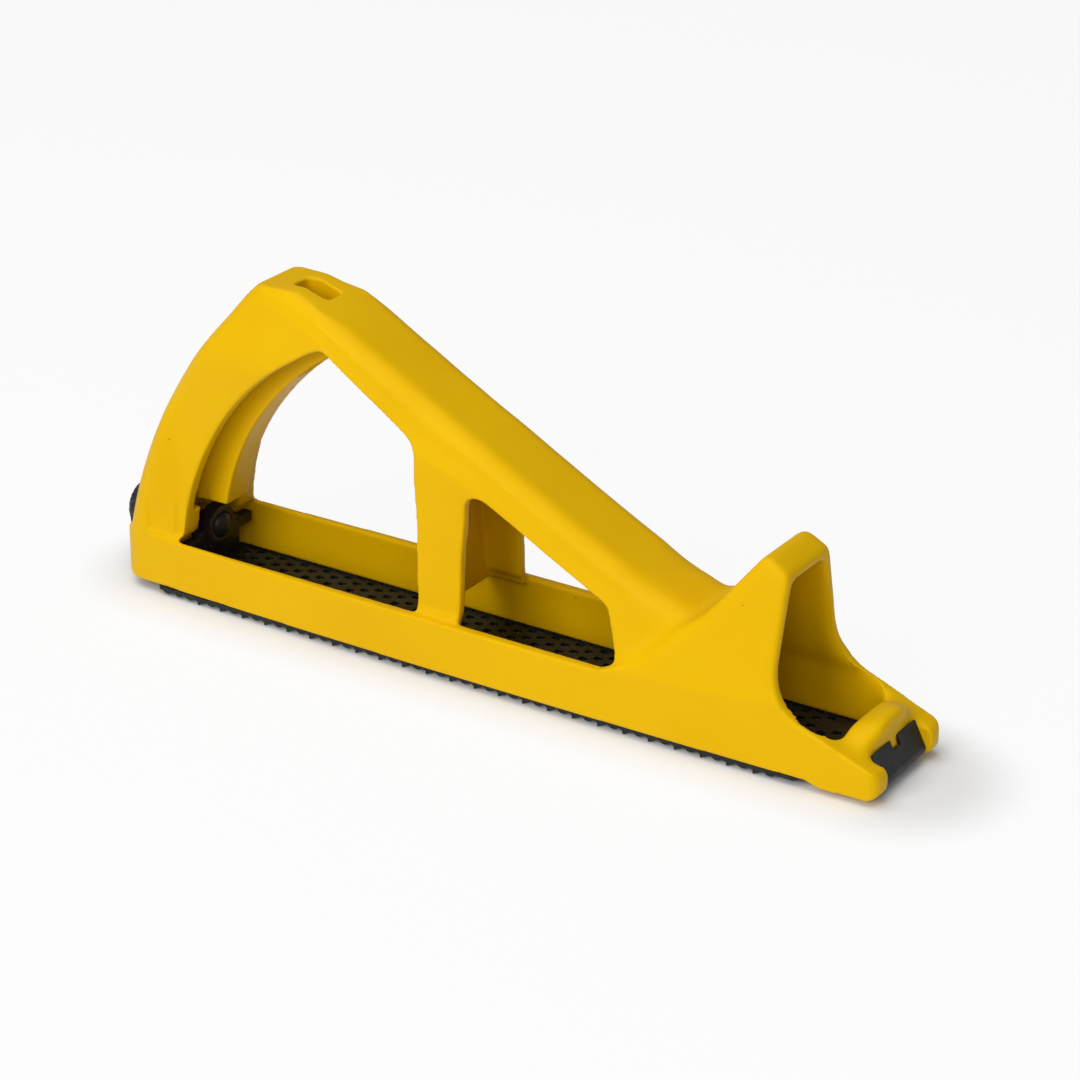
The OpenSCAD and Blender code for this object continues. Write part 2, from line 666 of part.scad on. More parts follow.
module blade_hook() {
  // The claw lies under the lean of the rear tongue
  front = -ring_x + ring_t;
  low = tongue_foot[1];
  claw_top = tongue_z - hook_gap;
  color([0.05, 0.05, 0.055]) translate([0, 0, sole_z]) difference() {
    union() {
      round_x(ring_r, -ring_x, front);
      across(claw_w) polygon([[-seat_x(low), low], [-seat_x(claw_top), claw_top], [-ring_x, claw_top],
        [-ring_x, bolt_z], [-ring_x + stem_t, bolt_z], [-ring_x + stem_t, claw_top / 2],
        [-ring_x + stem_t / 2, low]]);
      translate([-ring_x + stem_t / 2, 0, bolt_z - wing_h]) cube([stem_t, wing_span, wing_h], center = true);
    }
    round_x(bolt_r + bolt_gap, -ring_x - over, front + over);
    round_x(head_r + bolt_gap, front - cup_d, front + over);
  }
}
module draw_bolt() {
  tip_x = knob_x - knob_rim - knob_dome + 1.5 * over;
  seat = -ring_x + ring_t - cup_d;
  color([0.10, 0.10, 0.11]) translate([tip_x, 0, sole_z + bolt_z]) rotate([0, 90, 0]) rotate_extrude()
    polygon(concat([[0, 0], [bolt_r - bolt_gap, 0], [bolt_r, bolt_gap], [bolt_r, seat - tip_x],
      [head_r, seat - tip_x]], [for (a = [0 : 15 : 75])
      [head_r * cos(a), seat - tip_x + head_h / 3 + head_h * 2 / 3 * sin(a)]], [[0, seat - tip_x + head_h]]));
}
module thrust_washer() {
  color([0.55, 0.56, 0.58]) translate([0, 0, sole_z]) difference() {
    round_x(washer_r, washer_x - washer_t, washer_x);
    round_x(bolt_r + bolt_gap, washer_x - washer_t - over, washer_x + over);
  }
}
module nut_shape(grow, x0, x1) {
  translate([x0, 0, bolt_z]) rotate([0, 90, 0])
    cylinder(r = (nut_af / 2 + grow) / cos(30), h = x1 - x0, $fn = 6);
}
module tension_knob() {
  back = knob_x - knob_rim - knob_dome;
  color([0.05, 0.05, 0.055]) difference() {
    translate([knob_x, 0, sole_z + bolt_z]) rotate([0, -90, 0]) rotate_extrude()
      polygon([[0, 0], [knob_r - over / 2, 0], [knob_r, over / 2], [knob_r, knob_rim - over],
        [dome_r, knob_rim], [(2 * dome_r + cap_r) / 3, knob_rim + knob_dome * 0.6],
        [cap_r, knob_rim + knob_dome], [0, knob_rim + knob_dome]]);
    translate([0, 0, sole_z]) {
      for (i = [0 : knob_flutes - 1])
        translate([0, (knob_r + flute_r / 2) * cos(360 * i / knob_flutes),
          (knob_r + flute_r / 2) * sin(360 * i / knob_flutes)]) round_x(flute_r, back - over, knob_x + over);
      nut_shape(face_gap, knob_x - nut_t - 2 * face_gap, knob_x + over);
      round_x(bolt_r + bolt_gap, knob_x - knob_rim - knob_dome + over, knob_x + over);
    }
  }
}
module knob_nut() {
  color([0.60, 0.60, 0.62]) translate([0, 0, sole_z]) difference() {
    nut_shape(0, knob_x - face_gap - nut_t, knob_x - face_gap);
    round_x(bolt_r + run_gap, knob_x - face_gap - nut_t - over, knob_x + over);
  }
}

body();
blade();
blade_hook();
draw_bolt();
thrust_washer();
tension_knob();
knob_nut();
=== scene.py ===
# %% [markdown]
# A rasp plane is a hand tool for shaving wood, plaster and plastic. One yellow moulding carries a
# perforated steel blade between two side rails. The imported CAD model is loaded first. It holds every
# piece at its true size and place, and each visual piece below is built on it.

# %% Load the fixed frame
import math

import bmesh
import bpy
import numpy
from mathutils import Matrix, Vector


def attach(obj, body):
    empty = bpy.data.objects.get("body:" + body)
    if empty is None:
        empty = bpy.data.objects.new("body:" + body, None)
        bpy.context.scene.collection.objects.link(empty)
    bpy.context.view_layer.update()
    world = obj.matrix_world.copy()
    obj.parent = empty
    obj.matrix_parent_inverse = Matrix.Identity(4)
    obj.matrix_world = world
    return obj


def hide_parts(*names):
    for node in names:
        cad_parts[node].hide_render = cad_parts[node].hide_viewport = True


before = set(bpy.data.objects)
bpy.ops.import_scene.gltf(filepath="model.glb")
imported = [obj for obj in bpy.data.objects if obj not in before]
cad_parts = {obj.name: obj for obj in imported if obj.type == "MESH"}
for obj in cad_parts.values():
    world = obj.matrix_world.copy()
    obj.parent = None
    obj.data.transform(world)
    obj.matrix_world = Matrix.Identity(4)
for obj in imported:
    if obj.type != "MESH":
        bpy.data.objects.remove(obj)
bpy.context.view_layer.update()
MM = 0.001

# %% [markdown]
# The camera comes before the pieces.
# The photograph was taken from the front left, a little above, with a long lens that hardly narrows
# the tool towards its heel. A target, a distance and three angles are easier to judge and to change
# than a bare matrix.

# %% Camera at the photograph's angle
AIM = Vector((2.85, 2.46, 41.18)) * MM
DISTANCE = 961.6 * MM
AZIMUTH = math.radians(32.5)
ELEVATION = math.radians(24.61)
ROLL = math.radians(0.486)
LENS_MM = 110.0
SENSOR_MM = 36.0
CLIP_END = 20.0


def add_camera():
    data = bpy.data.cameras.new("camera")
    data.lens = LENS_MM
    data.sensor_width = SENSOR_MM
    data.clip_end = CLIP_END
    camera = bpy.data.objects.new("camera", data)
    bpy.context.scene.collection.objects.link(camera)
    turn = (Matrix.Rotation(AZIMUTH, 4, "Z") @ Matrix.Rotation(math.pi / 2 - ELEVATION, 4, "X")
            @ Matrix.Rotation(ROLL, 4, "Z"))
    backwards = turn @ Vector((0, 0, 1))
    camera.matrix_world = Matrix.Translation(AIM + backwards * DISTANCE) @ turn
    bpy.context.scene.camera = camera
    return camera


camera = add_camera()
print("camera at", [round(v, 3) for v in camera.matrix_world.translation])

# %% [markdown]
# A product photograph of plastic is lit by large soft sources. A wide overhead panel gives the even
# top light, a second one on the near side opens the flank, and a third behind the camera lights the
# horn and toe from the front. They stay at a plain level, so that a colour renders about as it is
# written.

# %% Studio lights
LIT_POINT = (0.0, 0.0, 0.04)


def add_panel(name, place, size, power):
    data = bpy.data.lights.new(name, "AREA")
    data.shape = "RECTANGLE"
    data.size, data.size_y = size
    data.energy = power
    panel = bpy.data.objects.new(name, data)
    bpy.context.scene.collection.objects.link(panel)
    direction = Vector(LIT_POINT) - Vector(place)
    panel.matrix_world = (Matrix.Translation(place)
                          @ direction.to_track_quat("-Z", "Y").to_matrix().to_4x4())
    return panel


add_panel("overhead_panel", place=(-0.20, -0.30, 1.5), size=(1.6, 1.2), power=14.5)
add_panel("near_side_panel", place=(-0.20, -1.50, 0.80), size=(0.9, 0.8), power=11.5)
add_panel("camera_panel", place=(0.80, -1.30, 0.90), size=(0.7, 0.7), power=5.4)
print("lights:", len(bpy.data.lights))

# %% [markdown]
# A white backdrop could be made with more light, but that would bleach the tool. So the world has
# two strengths: a weak one that lights the tool, and plain white for the rays that look straight at
# it. Light Path tells the two kinds of ray apart.

# %% White world
WORLD_STRENGTH = 0.16
WHITE = (1, 1, 1, 1)
PLAIN_WHITE = 1.0


def looking_rays(tree, first, second):
    rays = tree.nodes.new("ShaderNodeLightPath")
    either = tree.nodes.new("ShaderNodeMath")
    either.operation = "MAXIMUM"
    tree.links.new(rays.outputs[first], either.inputs[0])
    tree.links.new(rays.outputs[second], either.inputs[1])
    return either.outputs[0]


def white_world(strength):
    world = bpy.data.worlds.new("studio")
    world.use_nodes = True
    tree = world.node_tree
    tree.nodes.clear()
    out = tree.nodes.new("ShaderNodeOutputWorld")
    soft = tree.nodes.new("ShaderNodeBackground")
    soft.inputs["Color"].default_value = WHITE
    soft.inputs["Strength"].default_value = strength
    seen = tree.nodes.new("ShaderNodeBackground")
    seen.inputs["Color"].default_value = WHITE
    seen.inputs["Strength"].default_value = PLAIN_WHITE
    mix = tree.nodes.new("ShaderNodeMixShader")
    tree.links.new(looking_rays(tree, "Is Camera Ray", "Is Transmission Ray"), mix.inputs["Fac"])
    tree.links.new(soft.outputs[0], mix.inputs[1])
    tree.links.new(seen.outputs[0], mix.inputs[2])
    tree.links.new(mix.outputs[0], out.inputs["Surface"])
    bpy.context.scene.world = world
    return world


print("world:", white_world(WORLD_STRENGTH).name)

# %% [markdown]
# The floor has to look white and still carry the tool's soft shadow. It is mostly plain white to
# the rays that look at it, and the small rest takes light and shadow. Right under the tool it only
# takes light, so the contact shadow stays dark. The distance from a line that runs under the tool
# decides between the two, because the tool is long and narrow.

# %% Floor
FLOOR_HALF = 6.0
FLOOR_HEIGHT = -0.2 * MM
FLOOR_GREY = 0.86
FLOOR_WHITE_SHARE = 0.88
UNDER_HALF = 122 * MM
UNDER_NEAR = 16 * MM
UNDER_FAR = 42 * MM
LINE_DISTANCE = (("ABSOLUTE", None), ("SUBTRACT", (UNDER_HALF, 0, 0)), ("MAXIMUM", (0, 0, 0)),
                 ("LENGTH", None))


def clear_of_tool(tree):
    place = tree.nodes.new("ShaderNodeTexCoord").outputs["Object"]
    for operation, value in LINE_DISTANCE:
        vector_step = tree.nodes.new("ShaderNodeVectorMath")
        vector_step.operation = operation
        tree.links.new(place, vector_step.inputs[0])
        if value:
            vector_step.inputs[1].default_value = value
        place = vector_step.outputs["Value" if operation == "LENGTH" else "Vector"]
    open_air = tree.nodes.new("ShaderNodeMapRange")
    open_air.interpolation_type = "SMOOTHSTEP"
    open_air.inputs["From Min"].default_value = UNDER_NEAR
    open_air.inputs["From Max"].default_value = UNDER_FAR
    tree.links.new(place, open_air.inputs["Value"])
    return open_air.outputs["Result"]


def times(tree, first, second):
    product = tree.nodes.new("ShaderNodeMath")
    product.operation = "MULTIPLY"
    tree.links.new(first, product.inputs[0])
    if isinstance(second, float):
        product.inputs[1].default_value = second
    else:
        tree.links.new(second, product.inputs[1])
    return product.outputs[0]


def pale_floor():
    material = bpy.data.materials.new("pale_floor")
    material.use_nodes = True
    tree = material.node_tree
    shader = tree.nodes["Principled BSDF"]
    shader.inputs["Base Color"].default_value = (FLOOR_GREY, FLOOR_GREY, FLOOR_GREY, 1)
    shader.inputs["Roughness"].default_value = 0.9
    shader.inputs["Specular IOR Level"].default_value = 0.1
    white = tree.nodes.new("ShaderNodeEmission")
    white.inputs["Strength"].default_value = PLAIN_WHITE
    share = times(tree, looking_rays(tree, "Is Camera Ray", "Is Glossy Ray"), FLOOR_WHITE_SHARE)
    mix = tree.nodes.new("ShaderNodeMixShader")
    tree.links.new(times(tree, share, clear_of_tool(tree)), mix.inputs["Fac"])
    tree.links.new(shader.outputs[0], mix.inputs[1])
    tree.links.new(white.outputs[0], mix.inputs[2])
    tree.links.new(mix.outputs[0], tree.nodes["Material Output"].inputs["Surface"])
    return material


def add_floor():
    shape = bmesh.new()
    bmesh.ops.create_grid(shape, x_segments=1, y_segments=1, size=FLOOR_HALF,
                          matrix=Matrix.Translation((0, 0, FLOOR_HEIGHT)))
    mesh = bpy.data.meshes.new("floor")
    shape.to_mesh(mesh)
    shape.free()
    floor = bpy.data.objects.new("floor", mesh)
    bpy.context.scene.collection.objects.link(floor)
    floor.data.materials.append(pale_floor())
    return floor


print("floor, half width in m:", add_floor().data.vertices[-1].co.x)

# %% [markdown]
# Materials are node trees that read Object coordinates, so a pattern keeps its real scale on every
# piece and stays put when a piece turns. A short helper hands back the tree and its shader, and each
# finish then adds only what is its own.

# %% Material helpers
def new_finish(name, colour, roughness, metallic=0.0):
    material = bpy.data.materials.new(name)
    material.use_nodes = True
    tree = material.node_tree
    shader = tree.nodes["Principled BSDF"]
    shader.inputs["Base Color"].default_value = (*colour, 1)
    shader.inputs["Roughness"].default_value = roughness
    shader.inputs["Metallic"].default_value = metallic
    return material, tree, shader


def noise(tree, scale, detail):
    texture = tree.nodes.new("ShaderNodeTexNoise")
    texture.inputs["Scale"].default_value = scale
    texture.inputs["Detail"].default_value = detail
    coordinates = tree.nodes.new("ShaderNodeTexCoord")
    tree.links.new(coordinates.outputs["Object"], texture.inputs["Vector"])
    return texture.outputs["Fac"]


def ramp(tree, source, stops):
    node = tree.nodes.new("ShaderNodeValToRGB")
    for element, (place, colour) in zip(node.color_ramp.elements, stops):
        element.position = place
        element.color = (*colour, 1)
    tree.links.new(source, node.inputs["Fac"])
    return node.outputs["Color"]


def grey(value):
    return (value, value, value)


def vary_roughness(tree, shader, source, low, high):
    (low_place, low_value), (high_place, high_value) = low, high
    sheen = ramp(tree, source, [(low_place, grey(low_value)), (high_place, grey(high_value))])
    tree.links.new(sheen, shader.inputs["Roughness"])


def add_bump(tree, shader, source, strength, distance):
    bump = tree.nodes.new("ShaderNodeBump")
    bump.inputs["Strength"].default_value = strength
    bump.inputs["Distance"].default_value = distance
    tree.links.new(source, bump.inputs["Height"])
    tree.links.new(bump.outputs["Normal"], shader.inputs["Normal"])


def dress(node, material):
    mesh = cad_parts[node].data
    mesh.materials.clear()
    mesh.materials.append(material)
    print("dressed", node, "in", material.name)


# %% [markdown]
# The body is one satin moulding in a deep warm yellow. Real moulded plastic isn't one flat colour: the
# pigment flows in faint cloudy streaks, the sheen varies a little, a fine spark-eroded texture
# breaks up highlights, and a few dark specks are trapped in it. Its highlights are tinted, because
# white ones would bleach so strong a colour.

# %% Yellow plastic
YELLOW = (0.790, 0.465, 0.0)
YELLOW_DEEP = (0.765, 0.440, 0.0)
SPECK = (0.30, 0.16, 0.0)
SPECK_EDGE = (0.165, 0.175)
WARM_GLOSS = (1.0, 0.78, 0.30, 1)
MIX_FACTOR, MIX_A, MIX_B, MIX_RESULT = 0, 6, 7, 2


def yellow_plastic():
    material, tree, shader = new_finish("yellow_plastic", YELLOW, 0.42)
    clouds = ramp(tree, noise(tree, scale=28.0, detail=3.0), [(0.35, YELLOW_DEEP), (0.62, YELLOW)])
    specks = ramp(tree, noise(tree, scale=620.0, detail=1.0),
                  [(SPECK_EDGE[0], grey(1.0)), (SPECK_EDGE[1], grey(0.0))])
    mix = tree.nodes.new("ShaderNodeMix")
    mix.data_type = "RGBA"
    mix.inputs[MIX_B].default_value = (*SPECK, 1)
    tree.links.new(specks, mix.inputs[MIX_FACTOR])
    tree.links.new(clouds, mix.inputs[MIX_A])
    tree.links.new(mix.outputs[MIX_RESULT], shader.inputs["Base Color"])
    vary_roughness(tree, shader, noise(tree, scale=60.0, detail=4.0), low=(0.3, 0.42), high=(0.7, 0.52))
    add_bump(tree, shader, noise(tree, scale=2600.0, detail=2.0), strength=0.08, distance=0.15 * MM)
    shader.inputs["Specular IOR Level"].default_value = 0.20
    shader.inputs["Specular Tint"].default_value = WARM_GLOSS
    return material


yellow = yellow_plastic()
print("finish:", yellow.name)

# %% [markdown]
# The body's shape is in the CAD solid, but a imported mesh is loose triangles, long and thin where
# the surface is flat. A copy has its doubles merged, and its long edges are cut in half until none
# is left, so that the copy can bend between its corners when its points are moved.

# %% Copy a node and refine it
MERGE = 0.002 * MM
LONGEST_EDGE = 2.6 * MM
REFINE_ROUNDS = 7


def copy_of_node(node, name):
    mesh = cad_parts[node].data.copy()
    mesh.materials.clear()
    piece = bpy.data.objects.new(name, mesh)
    bpy.context.scene.collection.objects.link(piece)
    merged = bmesh.new()
    merged.from_mesh(mesh)
    bmesh.ops.remove_doubles(merged, verts=merged.verts, dist=MERGE)
    merged.to_mesh(mesh)
    merged.free()
    return piece


def refine(piece, longest):
    mesh = bmesh.new()
    mesh.from_mesh(piece.data)
    for _ in range(REFINE_ROUNDS):
        long_edges = [edge for edge in mesh.edges if edge.calc_length() > longest]
        if not long_edges:
            break
        bmesh.ops.subdivide_edges(mesh, edges=long_edges, cuts=1)
        bmesh.ops.triangulate(mesh, faces=[face for face in mesh.faces if len(face.verts) > 3])
    mesh.to_mesh(piece.data)
    mesh.free()
    print("refined to", len(piece.data.vertices), "points")


body = copy_of_node("body", "body_moulding")
refine(body, LONGEST_EDGE)

# %% [markdown]
# The moves below work on one array of points in millimetres. Where a move begins and ends it fades
# by a soft step, which is nothing up to its start and whole after its run, with no kink at either end.

# %% Points as an array, and a soft step
def read_points(piece, what="co"):
    values = numpy.empty(len(piece.data.vertices) * 3)
    piece.data.vertices.foreach_get(what, values)
    return values.reshape(-1, 3)


def write_points(piece, points):
    piece.data.vertices.foreach_set("co", (points * MM).ravel())
    piece.data.update()


def step(value, start, run):
    share = numpy.clip((value - start) / run, 0.0, 1.0)
    return share * share * (3 - 2 * share)


points = read_points(body) / MM
print("body points:", len(points), "highest:", round(float(points[:, 2].max()), 2))

# %% [markdown]
# The photograph shows the round back of the hand opening a little higher and further back than the
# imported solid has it, its roof lower at the post, and the post further back. Seen from the side, a
# few places on these outlines are named with where they go.

# %% Places that move
GRIP_Z = 68.2
GRIP_SLOPE = 0.536
RAIL_TOP = 18.7
RAIL_HEIGHTS = (8.0, 18.0)
HAND_FROM = ((-24.5, 9.0), 88.6)
HAND_TO = ((-27.7, 12.1), 86.5)
HAND_ANGLES = range(185, 121, -7)
ROOF = [((-60.7, 89.8), (-61.7, 91.6)), ((-55.0, 86.8), (-55.0, 87.2)),
        ((-42.0, 79.8), (-42.0, 78.7)), ((-28.6, 72.6), (-28.5, 69.8))]
POST_BACK = [((-26.5, 45.0), (-27.5, 45.0)), ((-24.5, 21.0), (-26.4, 21.0)),
             ((-24.5, 8.0), (-26.4, 8.0))]
POST_FRONT = [((-8.1, 8.0), (-11.8, 8.0)), ((-8.1, 21.0), (-11.8, 21.0)),
              ((-8.1, 40.0), (-11.8, 40.0)), ((-8.1, 60.1), (-11.6, 61.8)),
              ((-3.0, 57.3), (-4.5, 57.9))]


def on_circle(circle, degrees):
    (x, z), radius = circle
    turn = math.radians(degrees)
    return x + radius * math.cos(turn), z + radius * math.sin(turn)


def straight_out(degrees):
    way = Vector((math.cos(math.radians(degrees)), math.sin(math.radians(degrees))))
    centres = Vector(HAND_TO[0]) - Vector(HAND_FROM[0])
    start = Vector(on_circle(HAND_FROM, degrees))
    return tuple(start), tuple(start + way * (centres.dot(way) + HAND_TO[1] - HAND_FROM[1]))


moves = [straight_out(degrees) for degrees in HAND_ANGLES] + ROOF + POST_BACK + POST_FRONT
print("places that move:", len(moves))

# %% [markdown]
# Other places stay: the back of the arch, the top line of the grip, the rails, the front window and
# the horn. They keep the field from carrying those outlines along.

# %% Places that stay
ARCH = ((14.8, -7.6), 152.5)
ARCH_ANGLES = (171, 166, 161, 156, 151, 146, 141, 136, 132)
GRIP_PLACES = range(-72, 60, 12)
RAIL_PLACES = (-135, -124, -98, -84, -70, -55, 8, 24, 40, 56)
WINDOW = [(6.0, 52.5), (14.0, 48.0), (24.0, 42.8), (36.0, 36.5), (45.0, 22.0)]
HORN = [(52.0, 38.0), (62.0, 32.0), (86.0, 62.0), (74.0, 46.0), (95.0, 40.0), (100.0, 24.0),
        (112.0, 14.0), (124.0, 10.0)]


def grip_top(x):
    return GRIP_Z - GRIP_SLOPE * x


stays = [on_circle(ARCH, degrees) for degrees in ARCH_ANGLES]
stays += [(x, grip_top(x)) for x in GRIP_PLACES]
stays += [(x, z) for x in RAIL_PLACES for z in RAIL_HEIGHTS]
stays += WINDOW + HORN
print("places that stay:", len(stays))

# %% [markdown]
# A smooth field carries the rest. It is a sum of one rounded cone for each named place, and solving a
# small set of equations gives the cones' weights, so that every place moves just as it was told.

# %% Field between the places
REACH = 6.0


def field_of(moves, stays):
    start = numpy.array([a for a, _ in moves] + stays)
    shift = numpy.array([(b[0] - a[0], b[1] - a[1]) for a, b in moves] + [(0.0, 0.0)] * len(stays))
    gap = numpy.linalg.norm(start[:, None] - start[None], axis=2)
    weights = numpy.linalg.solve(numpy.sqrt(gap ** 2 + REACH ** 2), shift)
    return start, weights


def moved(places, start, weights):
    out = numpy.zeros_like(places)
    for centre, weight in zip(start, weights):
        gap2 = ((places - centre) ** 2).sum(axis=1)
        out += numpy.sqrt(gap2 + REACH ** 2)[:, None] * weight
    return out


side_shift = moved(points[:, (0, 2)], *field_of(moves, stays))
print("largest move in the side plane, mm:",
      round(float(numpy.linalg.norm(side_shift, axis=1).max()), 2))

# %% [markdown]
# The photograph shows the post narrower than the rails it stands on. What lies outside a core is
# pressed towards it, by the ratio that brings the inclined sides of the grip down to the waist. The
# walls below the grip are wider than those sides, so the same ratio leaves them wider than the waist:
# 18 mm at the post's foot. The press fades out towards the heel and ahead of the post, and low in the
# arch, where it has already faded, the walls keep the solid's width.

# %% Narrower post and grip sides
WAIST = 16.2
CORE = 6.0
FOOT = 20.1
SIDE_LEAN = 0.0655
GRIP_HALF = 14.5
FLARE_FROM = 6.0
FLARE_SLOPE = 0.33
FLARE_MOST = 3.3
WIDE_AHEAD = (8.0, 38.0)
WIDE_BEHIND = (111.0, 12.0)
ABOVE_RAIL = (0.6, 1.3)
HORN_ROOT = (50.0, 8.0)


def narrowed(x, y, z):
    depth = (grip_top(x) - z) * math.cos(math.atan(GRIP_SLOPE))
    grip = GRIP_HALF + numpy.clip((depth - FLARE_FROM) * FLARE_SLOPE, 0.0, FLARE_MOST)
    half = numpy.minimum(FOOT - SIDE_LEAN * numpy.maximum(z - RAIL_TOP, 0.0), grip)
    wide = numpy.maximum(step(x, *WIDE_AHEAD), step(-x, *WIDE_BEHIND))
    target = numpy.minimum(half, WAIST) * (1 - wide) + half * wide
    out = numpy.abs(y)
    pressed = numpy.where(out > CORE, CORE + (out - CORE) * (target - CORE) / (half - CORE), out)
    share = step(z - RAIL_TOP, *ABOVE_RAIL) * (1 - step(x, *HORN_ROOT))
    return numpy.sign(y) * (out + (pressed - out) * share)


x, y, z = points[:, 0].copy(), points[:, 1].copy(), points[:, 2].copy()
new_y = narrowed(x, y, z)
print("most drawn in, mm:", round(float(numpy.abs(new_y - y).max()), 2))

# %% [markdown]
# The valley between grip and horn is one long sweep on the real tool. Two soft bends, one after the
# other, lift the sharper corner of the solid up to it. The pillar stands further out of the arch's
# walls than the solid's does. The field has moved both back, so the pillar is pushed forward again.

# %% Valley and pillar
VALLEY_X = 58.5
VALLEY_BENDS = ((56.0, 0.50), (61.0, 0.75))
VALLEY_REACH = 7.0
VALLEY_HIGH = (24.0, 10.0)
VALLEY_AWAY = (16.0, 34.0)
PILLAR_PUSH = 2.0
PILLAR_FRONT = (-1.5, 4.0)
PILLAR_BEHIND = (60.0, 30.0)
PILLAR_SIDE = (5.6, 1.0)
PILLAR_HIGH = (24.0, 3.0)


def valley_fill(x, z):
    lift = 0.0
    for bend, turn in VALLEY_BENDS:
        along = x - bend
        lift += turn * (0.5 * (along + numpy.sqrt(along ** 2 + VALLEY_REACH ** 2))
                        - numpy.maximum(along, 0.0))
    away = numpy.abs(x - VALLEY_X)
    return lift * step(z, *VALLEY_HIGH) * (1 - step(away, *VALLEY_AWAY))


def pillar_push(x, y, z):
    (centre_x, centre_z), radius = HAND_FROM
    out = numpy.hypot(x - centre_x, z - centre_z)
    front = 1 - step(out - radius, *PILLAR_FRONT)
    middle = 1 - step(numpy.abs(y), *PILLAR_SIDE)
    return PILLAR_PUSH * front * step(-x, *PILLAR_BEHIND) * middle * step(z, *PILLAR_HIGH)


print("valley lifted, mm:", round(float(valley_fill(x, z).max()), 2))
print("pillar pushed, mm:", round(float(pillar_push(x, y, z).max()), 2))

# %% [markdown]
# The crown over the back of the hand is narrower at its rear end than the solid's and a little
# higher there. The brow over the front tongue comes a little further forward. No point rises above
# the top of the solid, because the visual model keeps the CAD model's size.

# %% Crown and brow
CROWN_DRAW = 3.2
CROWN_DRAW_BEHIND = (58.0, 26.0)
CROWN_DRAW_HIGH = (78.0, 26.0)
CROWN_DRAW_SIDE = (5.0, 9.0)
CROWN_LIFT = 1.2
CROWN_LIFT_BEHIND = (70.0, 10.0)
CROWN_LIFT_HIGH = (92.0, 10.0)
TOP = 105.4
BROW_PUSH = 1.7
BROW_HIGH = (11.8, 2.6)
BROW_AHEAD = (115.0, 4.0)
BROW_SIDE = (8.0, 5.0)


def crown_draw(x, y, z):
    share = (step(-x, *CROWN_DRAW_BEHIND) * step(z, *CROWN_DRAW_HIGH)
             * step(numpy.abs(y), *CROWN_DRAW_SIDE))
    return -numpy.sign(y) * CROWN_DRAW * share


def crown_lift(x, z):
    return CROWN_LIFT * step(-x, *CROWN_LIFT_BEHIND) * step(z, *CROWN_LIFT_HIGH)


def brow_push(x, y, z):
    middle = 1 - step(numpy.abs(y), *BROW_SIDE)
    return BROW_PUSH * step(z, *BROW_HIGH) * step(x, *BROW_AHEAD) * middle


points[:, 1] = new_y + crown_draw(x, y, z)
points[:, 0] += side_shift[:, 0] + pillar_push(x, y, z) + brow_push(x, y, z)
points[:, 2] = numpy.minimum(z + side_shift[:, 1] + valley_fill(x, z) + crown_lift(x, z), TOP)
write_points(body, points)
print("crown drawn in, mm:", round(float(numpy.abs(crown_draw(x, y, z)).max()), 2))

# %% [markdown]
# The edges are still crisp, and a moulding's are soft. A bevel modifier fails on a mesh of many
# cuts, so the copy is rebuilt as an even grid by a voxel remesh and then smoothed. Smoothing can be
# kept to a region: a vertex group says how much each point takes part.

# %% Rebuild as an even grid, and smooth a region
VOXEL = 0.5 * MM
SMOOTH_FACTOR = 0.5
LEVELS = 8


def bake_modifiers(piece):
    bpy.context.view_layer.update()
    graph = bpy.context.evaluated_depsgraph_get()
    mesh = bpy.data.meshes.new_from_object(piece.evaluated_get(graph))
    piece.modifiers.clear()
    piece.data = mesh


def remesh(piece, voxel):
    rebuild = piece.modifiers.new("even_grid", "REMESH")
    rebuild.mode = "VOXEL"
    rebuild.voxel_size = voxel
    bake_modifiers(piece)


def smooth_region(piece, passes, weight):
    smoother = piece.modifiers.new("soften", "SMOOTH")
    smoother.factor = SMOOTH_FACTOR
    smoother.iterations = passes
    members = [[] for _ in range(LEVELS + 1)]
    for vertex in piece.data.vertices:
        members[round(weight(vertex) * LEVELS)].append(vertex.index)
    group = piece.vertex_groups.new(name="soften")
    for level in range(1, LEVELS + 1):
        group.add(members[level], level / LEVELS, "REPLACE")
    smoother.vertex_group = group.name
    bake_modifiers(piece)
    piece.vertex_groups.clear()


remesh(body, VOXEL)
print("even grid:", len(body.data.polygons), "faces")

# %% [markdown]
# Most of the moulding needs only a light pass, and the hanging slot's edge hardly any. The horn,
# where the front hand holds the tool, is rounded much more. So are the inside of its shell with the
# valley, and the brow over the front tongue.

# %% Regions to soften
SLOT_KEEP = 0.9
SLOT_X = -73.6
BEND_X = 55.0


def fade(value, low, high):
    share = min(max((value - low) / (high - low), 0.0), 1.0)
    return share * share * (3 - 2 * share)


def light_weight(vertex):
    x, y, z = vertex.co / MM
    slot = fade(z, 95, 97) * (1 - fade(abs(x - SLOT_X), 7.5, 9.5)) * (1 - fade(abs(y), 5, 6.5))
    return 1.0 - SLOT_KEEP * slot


def horn_weight(vertex):
    x, _, z = vertex.co / MM
    return fade(x, 40, 58) * fade(z, 20, 32) * (1 - fade(x, 112, 119))


def shell_weight(vertex):
    x, y, z = vertex.co / MM
    inwards = -vertex.normal.y if y > 0 else vertex.normal.y
    length = fade(x, 52, 60) * (1 - fade(x, 112, 117))
    height = fade(z, 9, 13) * (1 - fade(z, 40, 50))
    inside = fade(inwards, 0.25, 0.6) * fade(abs(y), 6, 9) * length * height
    outside = fade(abs(vertex.normal.z) - inwards, 0.2, 0.5)
    valley = outside * (1 - fade(abs(x - BEND_X), 9, 17)) * fade(z, 20, 26)
    return max(inside, valley)


def brow_weight(vertex):
    x, y, z = vertex.co / MM
    return fade(x, 108, 113) * (1 - fade(abs(y), 16, 19)) * fade(z, 9.5, 12.5)


for passes, weight in ((12, light_weight), (90, horn_weight), (200, shell_weight), (220, brow_weight)):
    smooth_region(body, passes, weight)
    print("softened", passes, "times by", weight.__name__)

